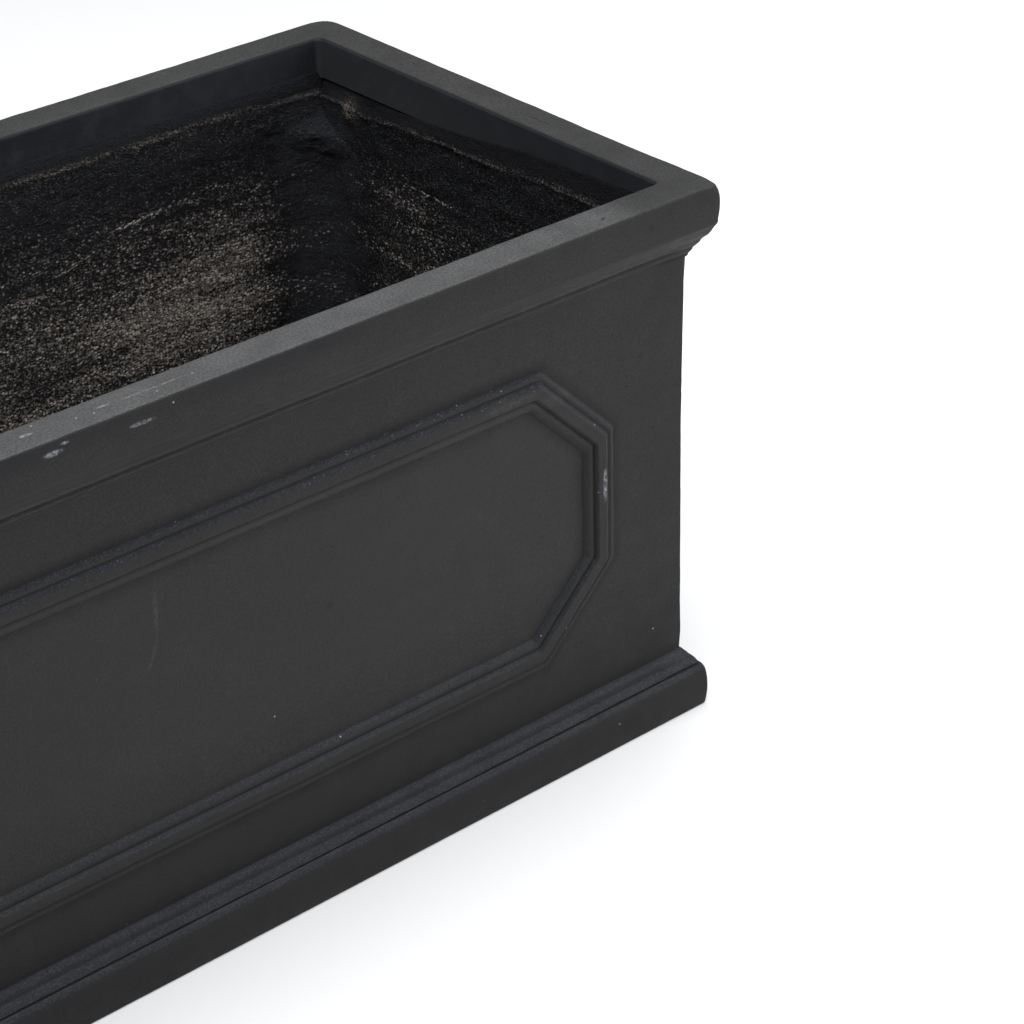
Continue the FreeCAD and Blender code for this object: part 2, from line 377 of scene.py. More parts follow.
def swept(outline):
    """Points of an outline carried round the trough, with each one's upright corner mark and its filling."""
    out, up, bend = outline[None, :, 0], outline[None, :, 1], upright_round(outline)[None, :]
    a, b, c, d, corner = [stations[:, k, None] for k in range(5)]
    far = (1.0 - abs(a)) * half_length + (1.0 - abs(c)) * half_depth
    in_plinth = (up > plinth_fill[0][0]) & (up < plinth_fill[-1][0])
    in_cornice = (up > cornice_fill[0][0]) & (up < lip_foot)
    fill = np.interp(up, *zip(*plinth_fill, *cornice_fill))
    filled = np.exp(-(far / corner_fill_reach) ** 2) * (out > -skin) * (in_plinth | in_cornice)
    out = out + filled * fill
    across = a * (half_length + out - bend) + b * bend
    deep = c * (half_depth + out - bend) + d * bend
    up = np.broadcast_to(up, across.shape)
    corner = np.broadcast_to(corner, across.shape)
    return np.stack([across, deep, up], axis=-1).reshape(-1, 3), corner.reshape(-1), filled.reshape(-1)


line = drawn(wall_outline, rubbed_reach)
line_turns = turning(line)
chosen = thinned(line)
line, line_turns = line[chosen], line_turns[chosen]
points, corner, filled = swept(line)
shell_points.append(points)
turns = np.tile(line_turns, len(stations)) * (1.0 - 0.9 * filled)
outside = np.tile(line[:, 0] > -skin, len(stations))
shell_turns.append(np.where(outside & (turns > -0.2), np.maximum(turns, corner), turns))
shell_faces.append(net(len(stations), len(line), shell_size, round_rows=True)[:, ::-1])
shell_size += len(points)

# The upright corners of the plain wall, between the faces
bare = np.stack([np.zeros(len(rises)), rises], axis=1)
points = swept(bare)[0]
points = points.reshape(len(stations), len(rises), 3)
place = 0
for side in range(4):
    place += len(side_stops[side])
    rows = [(place - 1 + k) % len(stations) for k in range(len(arc))]
    shell_points.append(points[rows].reshape(-1, 3))
    shell_turns.append(np.repeat([0.2, 0.4, 0.4, 0.4, 0.4, 0.2], len(rises)))
    shell_faces.append(net(len(rows), len(rises), shell_size)[:, ::-1])
    shell_size += len(rows) * len(rises)
    place += len(arc) - 2

shell_turns = np.concatenate(shell_turns)
face_shell = piece(
    "face_shell", np.concatenate(shell_points), np.concatenate(shell_faces),
    {"arris": np.clip(shell_turns, 0.0, 1.0), "hollow": np.clip(-shell_turns, 0.0, 1.0)}, weld=0.02)

# A hand-made mould is never quite true: the wall flares a little, mouldings waver and arrises are chipped
shell = face_shell.data
spots = numbers(shell.vertices, "co", 3) * to_mm
leans = numbers(shell.vertex_normals, "vector", 3)
arris = numbers(shell.attributes["arris"].data, "value")[:, 0]
hollow = numbers(shell.attributes["hollow"].data, "value")[:, 0]
inset = np.minimum(half_length - abs(spots[:, 0]), half_depth - abs(spots[:, 1]))
near_face = 5.0
seen = (inset < near_face) | (spots[:, 2] > lip_foot + 1.0)
moulded = 1.0 + 1.2 * np.maximum(arris, hollow)
waver = 0.12 * waves(spots, 24.0, 2) + 0.07 * waves(spots, 8.0, 5)
chips = np.clip(waves(spots, 9.0, 3) - 0.42, 0.0, 1.0)
nicks = 0.7 * np.clip(waves(spots, 3.6, 4) - 0.5, 0.0, 1.0)
rim_waver = 0.45 * arris * waves(spots, 13.0, 6) * (spots[:, 2] > rim_top - 10.0)
drift = 0.38 * waves(spots, 120.0, 1) + moulded * waver + rim_waver - 2.4 * arris * (chips + nicks)
drift = drift * seen * np.clip(spots[:, 2] / 4.0, 0.0, 1.0)
wall_flare = (
    (30.0, 0.0), (34.0, 0.35), (38.0, 0.2), (42.0, 0.0), (47.0, 0.5), (51.0, 0.9), (85.0, 0.5), (230.0, 0.2),
    (287.0, 0.5), (316.0, 0.75), (336.0, 0.8), (345.0, 0.9), (352.0, 0.55), (364.0, 0.3), (372.0, 0.0),
)
flare = np.interp(spots[:, 2], *zip(*wall_flare)) * (inset < near_face)
moved = spots + leans * drift[:, None]
moved[:, 0] += flare * np.sign(spots[:, 0]) * (half_length - abs(spots[:, 0]) < near_face)
moved[:, 1] += flare * np.sign(spots[:, 1]) * (half_depth - abs(spots[:, 1]) < near_face)
corner_lift = 1.3
corner_lift_reach = 170.0
corner_far = np.hypot(spots[:, 0] - half_length, spots[:, 1] - half_depth)
on_rim = np.clip((spots[:, 2] - lip_foot - 2.0) / 12.0, 0.0, 1.0)
moved[:, 2] += corner_lift * np.exp(-(corner_far / corner_lift_reach) ** 2) * on_rim
shell.vertices.foreach_set("co", (moved / to_mm).astype(np.float32).ravel())
shell.update()
steady = face_shell.modifiers.new("steady_normals", "WEIGHTED_NORMAL")
steady.weight = 60


def bare_finish(name):
    """An empty material and its node tree."""
    material = bpy.data.materials.new(name)
    material.use_nodes = True
    material.node_tree.nodes.clear()
    return material, material.node_tree


def node(tree, kind, inputs=(), **settings):
    """A shader node with its settings made and its inputs set or linked."""
    made = tree.nodes.new(kind)
    for key, value in settings.items():
        setattr(made, key, value)
    for key, value in dict(inputs).items():
        if isinstance(value, bpy.types.NodeSocket):
            tree.links.new(value, made.inputs[key])
        else:
            made.inputs[key].default_value = value
    return made


def sums(operation, first, second=0.0, third=0.0):
    """One sum of numbers. The first is a socket, which gives the tree, as in the helpers below."""
    tree = first.id_data
    return node(tree, "ShaderNodeMath", {0: first, 1: second, 2: third}, operation=operation).outputs[0]


def product(first, second):
    """Two numbers multiplied."""
    return sums("MULTIPLY", first, second)


def ranged(value, low, high, start=0.0, end=1.0):
    """A number eased from a start to an end while a value goes from low to high."""
    made = node(value.id_data, "ShaderNodeMapRange", {0: value, 1: low, 2: high, 3: start, 4: end})
    made.interpolation_type = "SMOOTHSTEP"
    return made.outputs[0]


def mixed(share, first, second):
    """Two colours mixed by a share."""
    return node(share.id_data, "ShaderNodeMix", {0: share, 6: first, 7: second}, data_type="RGBA").outputs[2]


def cloudy(place, scale, detail=2.0, rough=0.5, twist=0.0):
    """Seeded cloud noise from 0 to 1, with a number of clouds to the metre."""
    return node(place.id_data, "ShaderNodeTexNoise", {
        "Vector": place, "Scale": scale, "Detail": detail, "Roughness": rough, "Distortion": twist,
    }).outputs["Fac"]


def dotted(place, scale):
    """The distance to scattered dots, in cells, and a random number for each dot."""
    made = node(place.id_data, "ShaderNodeTexVoronoi", {"Vector": place, "Scale": scale}, feature="F1")
    pick = node(place.id_data, "ShaderNodeSeparateColor", {0: made.outputs["Color"]}).outputs[0]
    return made.outputs["Distance"], pick


def dots(place, scale, rim, core, fewest, most):
    """Scattered round dots, for the share of them whose random number is past two limits."""
    far, pick = dotted(place, scale)
    return product(ranged(far, rim, core), ranged(pick, fewest, most))


def stretched(place, middle, size, turn=(0.0, 0.0, 0.0)):
    """The distance from a middle, in a turned and stretched measure that is 1 at the given size."""
    tree = place.id_data
    made = node(tree, "ShaderNodeMapping", {
        "Vector": place, "Location": middle, "Rotation": turn, "Scale": size}, vector_type="TEXTURE")
    return node(tree, "ShaderNodeVectorMath", {0: made.outputs[0]}, operation="LENGTH").outputs["Value"]


def spotted(colour, place, spots, tone, core, broken=None):
    """A tone laid over a colour in spots: each has a middle, a half size, a strength and perhaps a turn."""
    for middle, size, strength, *turn in spots:
        share = ranged(stretched(place, middle, size, *turn), 1.0, core, 0.0, strength)
        if broken is not None:
            share = product(share, broken)
        colour = mixed(share, colour, tone)
    return colour


def surfaced(colour, rough, relief, strength, depth, **more):
    """The surface of a finish: a colour and a roughness, on a relief of a strength and a depth in metres."""
    tree = colour.id_data
    bump = node(tree, "ShaderNodeBump", {"Strength": strength, "Distance": depth, "Height": relief})
    shader = node(tree, "ShaderNodeBsdfPrincipled", {
        "Base Color": colour, "Roughness": rough, "Normal": bump.outputs[0], **more})
    node(tree, "ShaderNodeOutputMaterial", {0: shader.outputs[0]})


def marked(tree, name):
    """The numbers marked on a piece's points under a name."""
    return node(tree, "ShaderNodeAttribute", attribute_name=name).outputs["Fac"]


def rim_tones(colour, place, facing_up, clouds):
    """The cement's colour with painted shade below the rim's top edge, and dust and a painted sheen on its
    top.
    """
    across, deep, height = node(place.id_data, "ShaderNodeSeparateXYZ", {0: place}).outputs

    # Painted shade: the rim's face is darker and bluer just below its top edge
    brow_shade = product(ranged(height, 0.384, 0.396), ranged(facing_up, 0.75, 0.45))
    brow_shade = product(brow_shade, ranged(clouds, 0.35, 0.62, 0.35, 0.75))
    colour = mixed(brow_shade, colour, (0.0088, 0.0095, 0.0118, 1))

    # Dust lies on the rim's top, and a painted sheen makes it paler still along the front
    crown = product(ranged(facing_up, 0.6, 0.95), ranged(height, 0.385, 0.396))
    front = ranged(deep, -0.174, -0.186)
    patchy = ranged(cloudy(place, 30.0, 5.0, 0.7), 0.3, 0.7, 0.8, 1.2)
    front = product(front, ranged(across, 0.445, 0.40))
    speckled = ranged(cloudy(place, 650.0, 2.0, 0.7), 0.36, 0.68, 0.65, 1.35)
    dust_and_sheen = product(sums("MULTIPLY_ADD", front, 0.21, 0.13), patchy)
    dust_and_sheen = product(dust_and_sheen, speckled)
    return mixed(product(crown, dust_and_sheen), colour, (0.170, 0.170, 0.171, 1))


def lip_tones(colour, place, facing_up, mottle):
    """The cement's colour on the inner lip: dark and bluish, lightening towards the right, paler still on
    the right end, and mottled.
    """
    across, deep, _ = node(place.id_data, "ShaderNodeSeparateXYZ", {0: place}).outputs
    inside_x = ranged(sums("ABSOLUTE", across), 0.4722, 0.4716)
    inside_y = ranged(sums("ABSOLUTE", deep), 0.1807, 0.1801)
    lip = product(product(inside_x, inside_y), ranged(facing_up, 0.7, 0.3))
    back_lip = mixed(
        ranged(across, 0.15, 0.42), (0.0118, 0.0127, 0.0165, 1), (0.0188, 0.0199, 0.0240, 1))
    end_lip = mixed(ranged(deep, -0.08, 0.08), (0.032, 0.034, 0.039, 1), (0.044, 0.046, 0.051, 1))
    lip_tone = mixed(ranged(across, 0.466, 0.469), back_lip, end_lip)
    lip_tone = mixed(ranged(mottle, 0.45, 0.70, 0.0, 0.14), lip_tone, (0.075, 0.078, 0.086, 1))
    return mixed(product(lip, 0.85), colour, lip_tone)


def handling_marks(colour, place):
    """The cement's colour with the scuffs, specks, pinholes and scratches that handling left on it."""
    # Pale scuffs where it was handled: middle and half size in metres, and strength
    scuffs = [
        ((-0.013, -0.193, 0.400), (0.006, 0.002, 0.003), 0.9),
        ((-0.006, -0.208, 0.392), (0.008, 0.004, 0.0022), 0.8),
        ((0.002, -0.208, 0.3957), (0.0035, 0.004, 0.0012), 0.8),
        ((0.052, -0.208, 0.390), (0.011, 0.004, 0.0018), 0.55),
        ((0.037, -0.193, 0.400), (0.006, 0.0012, 0.003), 0.9),
        ((0.069, -0.194, 0.400), (0.032, 0.0009, 0.003), 0.5),
        ((0.4088, -0.196, 0.2075), (0.0026, 0.006, 0.0150), 1.0),
    ]
    broken = ranged(cloudy(place, 420.0, 4.0, 0.75), 0.42, 0.60, 0.15, 1.0)
    colour = spotted(colour, place, scuffs, (0.24, 0.25, 0.27, 1), 0.4, broken)

    # Bright sand specks and dark pinholes, each about a millimetre across
    rim_specks = [
        (0.0184, -0.1950, 0.400), (0.0289, -0.1969, 0.400), (-0.0049, -0.1859, 0.400),
        (0.0966, -0.1944, 0.400), (0.0695, -0.1990, 0.400),
    ]
    face_specks = [
        (0.0738, -0.208, 0.3948), (0.4008, -0.194, 0.2551), (0.3485, -0.194, 0.2988),
        (0.4029, -0.194, 0.2041), (0.3748, -0.192, 0.1093), (0.3526, -0.192, 0.1126),
        (0.4567, -0.192, 0.0725), (0.4122, -0.205, 0.0201), (0.1841, -0.192, 0.1095),
        (0.1366, -0.192, 0.1458),
    ]
    specks = [(middle, (0.0008, 0.0008, 0.004), 0.9) for middle in rim_specks]
    specks += [(middle, (0.0008, 0.004, 0.0008), 0.9) for middle in face_specks]
    colour = spotted(colour, place, specks, (0.26, 0.26, 0.27, 1), 0.5)
    pinholes = [
        (0.4198, 0.3122), (0.4443, 0.2883), (0.4324, 0.2706), (0.4327, 0.2777), (0.4561, 0.2313),
        (0.4203, 0.1203), (0.4286, 0.1144), (0.3853, 0.0880), (0.1766, 0.0813), (0.1737, 0.0850),
        (0.1860, 0.0760), (0.1943, 0.0923),
    ]
    pinholes = [((along, -0.192, up), (0.0012, 0.004, 0.0012), 0.85) for along, up in pinholes]
    colour = spotted(colour, place, pinholes, (0.0035, 0.0035, 0.0035, 1), 0.5)

    # Pale rubbed streaks: middle, half size, strength and turn
    streaks = [
        ((0.0590, -0.1912, 0.2560), (0.0026, 0.004, 0.022), 0.75, (0.0, 0.04, 0.0)),
        ((0.0545, -0.1912, 0.2280), (0.0020, 0.004, 0.018), 0.7, (0.0, 0.36, 0.0)),
        ((0.0425, -0.2080, 0.3700), (0.0012, 0.006, 0.012), 0.6),
        ((0.3921, -0.1912, 0.3372), (0.0007, 0.004, 0.0035), 0.8, (0.0, 0.2, 0.0)),
        ((0.3300, -0.1960, 0.2960), (0.035, 0.004, 0.0042), 0.8),
    ]
    colour = spotted(colour, place, streaks, (0.044, 0.044, 0.0435, 1), 0.1, broken)

    # Hair scratches, a crack in the rim and dark spots: middle, half size, strength and turn
    hairs = [
        ((0.4838, -0.0476, 0.400), (0.0005, 0.018, 0.004), 0.75, (0.0, 0.0, 0.02)),
        ((0.407, -0.1980, 0.400), (0.0024, 0.0010, 0.003), 0.9, (0.0, 0.0, 0.5)),
        ((0.3884, -0.1804, 0.400), (0.0012, 0.0009, 0.003), 0.7),
        ((0.4382, -0.208, 0.3873), (0.003, 0.004, 0.003), 0.5),
        ((0.1844, -0.1912, 0.2066), (0.004, 0.004, 0.003), 0.35),
        ((0.4335, -0.1912, 0.2253), (0.0006, 0.004, 0.0042), 0.7),
    ]
    return spotted(colour, place, hairs, (0.004, 0.004, 0.004, 1), 0.5)


def cement_finish():
    """Charcoal cement: cloudy and finely grained, paler where it is rubbed or dusty, with painted light and
    shade on its slopes, overhangs, rim, hollows and foot.
    """
    material, tree = bare_finish("charcoal_cement")
    place = node(tree, "ShaderNodeTexCoord").outputs["Object"]
    across, deep, height = node(tree, "ShaderNodeSeparateXYZ", {0: place}).outputs
    end_far = sums("ABSOLUTE", across)
    lean = node(tree, "ShaderNodeSeparateXYZ", {0: node(tree, "ShaderNodeNewGeometry").outputs["Normal"]})
    facing_up = lean.outputs["Z"]
    arris = marked(tree, "arris")
    hollow = marked(tree, "hollow")

    clouds = cloudy(place, 6.0, 4.0, 0.6)
    mottle = cloudy(place, 45.0, 5.0, 0.65)
    grain = cloudy(place, 900.0, 2.0, 0.7)
    colour = mixed(
        ranged(clouds, 0.3, 0.7), (0.0085, 0.0085, 0.0083, 1), (0.0120, 0.0120, 0.0116, 1))
    colour = mixed(ranged(mottle, 0.38, 0.72, 0.0, 0.5), colour, (0.0206, 0.0204, 0.0197, 1))
    colour = mixed(ranged(grain, 0.34, 0.72, 0.0, 0.65), colour, (0.029, 0.0287, 0.028, 1))

    # The panel's field came out of the mould a little paler than the wall round it
    field = product(ranged(height, 0.125, 0.16), ranged(height, 0.29, 0.265))
    field = product(field, ranged(end_far, 0.40, 0.375))
    colour = mixed(product(field, 0.25), colour, (0.029, 0.0288, 0.028, 1))

    # The wall darkens towards its ends, and painted shade darkens it towards its foot
    ends = ranged(end_far, 0.385, 0.465, 0.0, 0.22)
    colour = mixed(ends, colour, (0.0080, 0.0080, 0.0080, 1))
    # Painted shade towards the foot: a bluish darkening for the dimmer light near the floor
    low = ranged(height, 0.14, 0.04)
    colour = mixed(product(low, 0.62), colour, (0.0062, 0.0064, 0.0074, 1))

    # Painted light and shade on the slopes that face up: a bluish tone, paler on the lower rails and darker
    # on the upper ones, with pale grains painted as glints and fine dark grains
    slope = product(ranged(facing_up, 0.05, 0.55), ranged(height, 0.394, 0.385))
    slope_light_and_shade = mixed(
        ranged(height, 0.14, 0.28), (0.0165, 0.0175, 0.0215, 1), (0.0105, 0.0117, 0.0172, 1))
    salt = cloudy(place, 760.0, 3.0, 0.8)
    salt_glints = ranged(salt, 0.49, 0.63, 0.0, 0.7)
    dark_salt = ranged(salt, 0.46, 0.35, 0.0, 0.7)
    slope_light_and_shade = mixed(salt_glints, slope_light_and_shade, (0.046, 0.048, 0.058, 1))
    slope_light_and_shade = mixed(dark_salt, slope_light_and_shade, (0.0060, 0.0064, 0.0080, 1))
    colour = mixed(product(slope, 0.82), colour, slope_light_and_shade)

    colour = rim_tones(colour, place, facing_up, clouds)

    # Painted light from below: the overhang under the rim and the upper rail's inner bead, which face down,
    # are made paler
    overhang = product(ranged(height, 0.378, 0.361), ranged(height, 0.3565, 0.3585))
    bead = product(ranged(height, 0.2800, 0.2850), ranged(height, 0.2930, 0.2885))
    bead = product(bead, ranged(deep, -0.1915, -0.1930))
    pale = sums("ADD", overhang, product(bead, 0.7))
    pale = product(pale, ranged(cloudy(place, 9.0, 4.0, 0.6), 0.3, 0.7, 0.3, 0.75))
    colour = mixed(pale, colour, (0.034, 0.034, 0.0335, 1))

    # Arrises are rubbed pale here and there, and painted shade darkens the hollows
    worn = cloudy(place, 140.0, 4.0, 0.7)
    rub = product(ranged(arris, 0.2, 0.8), ranged(worn, 0.35, 0.62, 0.25, 1.0))
    colour = mixed(product(rub, 0.34), colour, (0.085, 0.085, 0.085, 1))
    colour = mixed(ranged(hollow, 0.1, 0.9, 0.0, 0.55), colour, (0.0042, 0.0042, 0.0048, 1))

    colour = lip_tones(colour, place, facing_up, mottle)

    # Small pits and pale flecks are scattered all over
    pits = dots(place, 95.0, 0.085, 0.05, 0.84, 0.86)
    flecks = dots(place, 62.0, 0.045, 0.025, 0.90, 0.92)
    colour = mixed(product(pits, 0.7), colour, (0.0038, 0.0038, 0.0038, 1))
    colour = mixed(product(flecks, 0.5), colour, (0.09, 0.09, 0.09, 1))

    # Glints of sand on the slopes of the upper rails
    glints = dots(place, 460.0, 0.36, 0.20, 0.70, 0.74)
    strewn = ranged(stretched(place, (0.303, -0.194, 0.306), (0.045, 0.02, 0.008)), 1.0, 0.4)
    drifts = ranged(cloudy(place, 28.0, 3.0, 0.6), 0.52, 0.66, 0.0, 0.5)
    strewn = sums("MAXIMUM", strewn, drifts)
    upper = product(strewn, ranged(height, 0.20, 0.30, 0.0, 0.9))
    glints = product(glints, product(slope, upper))
    colour = mixed(glints, colour, (0.16, 0.165, 0.18, 1))

    colour = handling_marks(colour, place)
    relief = sums("MULTIPLY_ADD", grain, 0.5, product(mottle, 0.9))
    relief = sums("SUBTRACT", relief, product(pits, 1.6))
    rough = ranged(mottle, 0.3, 0.7, 0.54, 0.68)
    surfaced(colour, rough, relief, 0.35, 0.0010, **{"Specular IOR Level": 0.19})
    return material


cement = cement_finish()
shell.materials.append(cement)
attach(face_shell, "planter")
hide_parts("cast_shell")

# Base slab: the flat bottom of the trough, cast inside the foot ring round the drain sleeves.
# It is the same charcoal cement as the face, floated level by hand, and it bears on nothing below.

base_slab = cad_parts["base_slab"]
base_slab.data.materials.clear()
base_slab.data.materials.append(cement)

# Glass mats: five sheets of chopped glass strand, laid into the wet face behind each wall and on the base.
# They keep the thin casting from cracking, and the rough coat buries them.


def mat_finish():
    """Matted glass strands, pale and greenish, soaked dark with cement in places."""
    material, tree = bare_finish("glass_strand_mat")
    place = node(tree, "ShaderNodeTexCoord").outputs["Object"]
    strands = cloudy(place, 260.0, 6.0, 0.8, 3.5)
    soaked = cloudy(place, 22.0, 3.0, 0.6)
    colour = mixed(ranged(strands, 0.40, 0.62), (0.28, 0.31, 0.29, 1), (0.66, 0.70, 0.66, 1))
    colour = mixed(ranged(soaked, 0.45, 0.65, 0.0, 0.7), colour, (0.07, 0.07, 0.07, 1))
    surfaced(colour, 0.6, strands, 0.5, 0.0006)
    return material


glass = mat_finish()
for mat_name in ("front_mat", "back_mat", "left_mat", "right_mat", "base_mat"):
    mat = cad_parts[mat_name]
    mat.data.materials.clear()
    mat.data.materials.append(glass)

# Wall coats: coarse dark mortar trowelled over the mats, one wall at a time.
# Each is feathered on to the lip, has a ragged, sandy ridge below that, and is streaked along the wall.

coat_back = 8.4
coat_face = 15.2
coat_foot = 36.0
coat_high = 369.6
coat_run = 325.0
coat_cell = 3.0


def lofted(sections):
    """Points and faces of closed sections carried along stations, with the two ends capped."""
    stops, count = sections.shape[:2]
    faces = net(stops, count, round_columns=True).tolist()
    faces.append(list(range(count))[::-1])
    faces.append([(stops - 1) * count + k for k in range(count)])
    return sections.reshape(-1, 3), faces


def wall_coat(name, side, seed, feather, ridge, sharp, lumps):
    """A wall's rough coat. Its feather edge and its ridge are heights at shares of the way along it."""
    half_face = half_length if side % 2 == 0 else half_depth
    stops = 1 + round(2.0 * half_face / coat_cell)
    share = np.linspace(-1.0, 1.0, stops)
    walk = np.stack([share * half_face, np.full(stops, 31.0 * side), np.zeros(stops)], axis=1)
    ragged = 1.2 * waves(walk, 22.0, seed) + 0.9 * waves(walk, 7.0, seed + 1)
    edge = np.interp(share, *zip(*feather)) + 1.2 * waves(walk, 60.0, seed + 2) + 0.5 * ragged
    crest = np.interp(share, *zip(*ridge)) + ragged
    thick = 1.0 + 0.8 * waves(walk, 30.0, seed + 3) + 0.7 * waves(walk, 9.0, seed + 4)

    # Going up the coat: how far in from the wall's outer face, and how high
    rows = [(coat_back, coat_foot)]
    for part in np.linspace(0.0, 1.0, round(coat_run / coat_cell)):
        rows.append((coat_face, coat_foot + (crest - 4.0 - coat_foot) * part))
    for proud, rise in ((0.2, -2.2), (0.5, -1.0), (0.6, 0.0), (0.2, 0.8)):
        rows.append((coat_face + proud * thick, crest + rise))
    rows.append((coat_face - 1.0, crest + 2.0))
    for part in (0.2, 0.4, 0.6, 0.8):
        rows.append((coat_face - 1.0 - 2.2 * part + 0.2 * thick, crest + 2.0 + (edge - crest - 2.0) * part))
    rows += [(lip_inset + 0.15, edge), (lip_inset - 0.6, edge + 0.3)]
    rows += [(lip_inset - 1.1, coat_high), (coat_back, coat_high)]
    inset, up = [np.stack([np.broadcast_to(row[k], stops) for row in rows], axis=1) for k in (0, 1)]
    along = share[:, None] * (half_face - inset + 1.0)

    # Trowel strokes run along the wall, and lumps are left where a load of mortar was pressed on
    solid = (inset > lip_inset - 0.3) & (up > coat_foot + 1.0)
    flat = np.stack([along, np.full(along.shape, 57.0 * side), up], axis=-1).reshape(-1, 3)
    rough = waves(flat, 40.0, seed + 5, (2.2, 1.0, 0.8)) + waves(flat, 11.0, seed + 6, (2.5, 1.0, 0.7))
    rough += waves(flat, 5.0, seed + 7, (1.6, 1.0, 0.8))
    rough = np.where(up.reshape(-1) > lip_foot - 2.5, 0.35, 1.0) * rough
    inset = inset + np.where(solid, rough.reshape(inset.shape), 0.0)
    tan = np.exp(-((up - crest[:, None] + 0.4) * sharp) ** 2) * np.clip(thick, 0.15, 1.2)[:, None]
    tan = (0.2 + 0.25 * sharp) * tan
    for place, level, size, proud in lumps:
        swell = np.exp(-((along - place) ** 2 + (up - level) ** 2) / size ** 2)
        inset = inset + np.where(solid, proud * swell, 0.0)
        tan = np.maximum(tan, 1.2 * swell)
    inset = np.where(solid & (up > lip_foot - 1.0), np.maximum(inset, lip_inset + 0.12), inset)
    points = onto_side(side, along.reshape(-1), -inset.reshape(-1), up.reshape(-1))
    points, faces = lofted(points.reshape(stops, len(rows), 3))
    thin = np.clip((up - crest[:, None] - 1.0) / np.maximum(edge - crest - 3.0, 2.0)[:, None], 0.0, 1.0)
    marks = {"ridge": np.clip(tan, 0.0, 1.0).reshape(-1), "thin": thin.reshape(-1)}
    return piece(name, points, faces, marks)


def sand_spread(place, rows, on_side):
    """How sandy the mortar is, a bias for its fine grains and how its bright grains crowd."""
    across, deep, height = node(place.id_data, "ShaderNodeSeparateXYZ", {0: place}).outputs

    # Sand shows low down on the walls, most of all in a tan patch of the back, and thins out at the corners
    lower = ranged(height, 0.36, 0.25)
    clear_back = ranged(sums("ABSOLUTE", across), 0.45, 0.38, 0.15, 1.0)
    clear_side = ranged(sums("ABSOLUTE", deep), 0.155, 0.10, 0.15, 0.7)
    clear_back = product(clear_back, sums("MULTIPLY_ADD", on_side, -1.0, 1.0))
    sandy = product(lower, sums("MAXIMUM", clear_back, clear_side))
    patch = ranged(stretched(place, (0.325, 0.176, 0.222), (0.12, 0.06, 0.05)), 1.0, 0.2)
    side_rows = ranged(stretched(place, (0.467, 0.08, 0.315), (0.03, 0.07, 0.032)), 1.0, 0.3)
    bias = sums("MULTIPLY_ADD", rows, 0.30, product(sandy, 0.165))
    bias = sums("MULTIPLY_ADD", patch, 0.06, bias)
    bias = sums("MULTIPLY_ADD", side_rows, 0.03, bias)
    crowd = product(lower, sums("MULTIPLY_ADD", rows, 1.1, -0.55))
    crowd = sums("MULTIPLY_ADD", sandy, 0.38, sums("ADD", crowd, 0.03))
    crowd = sums("MULTIPLY_ADD", patch, 0.32, crowd)
    crowd = sums("MULTIPLY_ADD", side_rows, 0.06, crowd)

    # Rows of grains dragged by the trowel: middle, half size, tilt and strength
    drag_marks = [
        ((0.304, 0.176, 0.3095), (0.046, 0.03, 0.0019), -0.09, 0.75),
        ((0.371, 0.176, 0.3145), (0.022, 0.03, 0.0017), 0.16, 0.5),
        ((0.245, 0.176, 0.2915), (0.030, 0.03, 0.0017), -0.28, 0.45),
        ((0.205, 0.176, 0.2780), (0.024, 0.03, 0.0016), 0.09, 0.5),
        ((0.467, 0.057, 0.3163), (0.03, 0.045, 0.0015), 0.0, 0.6),
        ((0.467, 0.078, 0.2845), (0.03, 0.050, 0.0030), 0.0, 0.3),
    ]
    for middle, size, tilt, strength in drag_marks:
        far = stretched(place, middle, size, (0.0, tilt, 0.0))
        dragged = ranged(far, 1.0, 0.3, 0.0, strength)
        bias = sums("MULTIPLY_ADD", dragged, 0.10, bias)
        crowd = sums("ADD", dragged, crowd)
    crowd = product(crowd, ranged(height, 0.050, 0.080, 0.35, 1.0))
    return sandy, bias, crowd


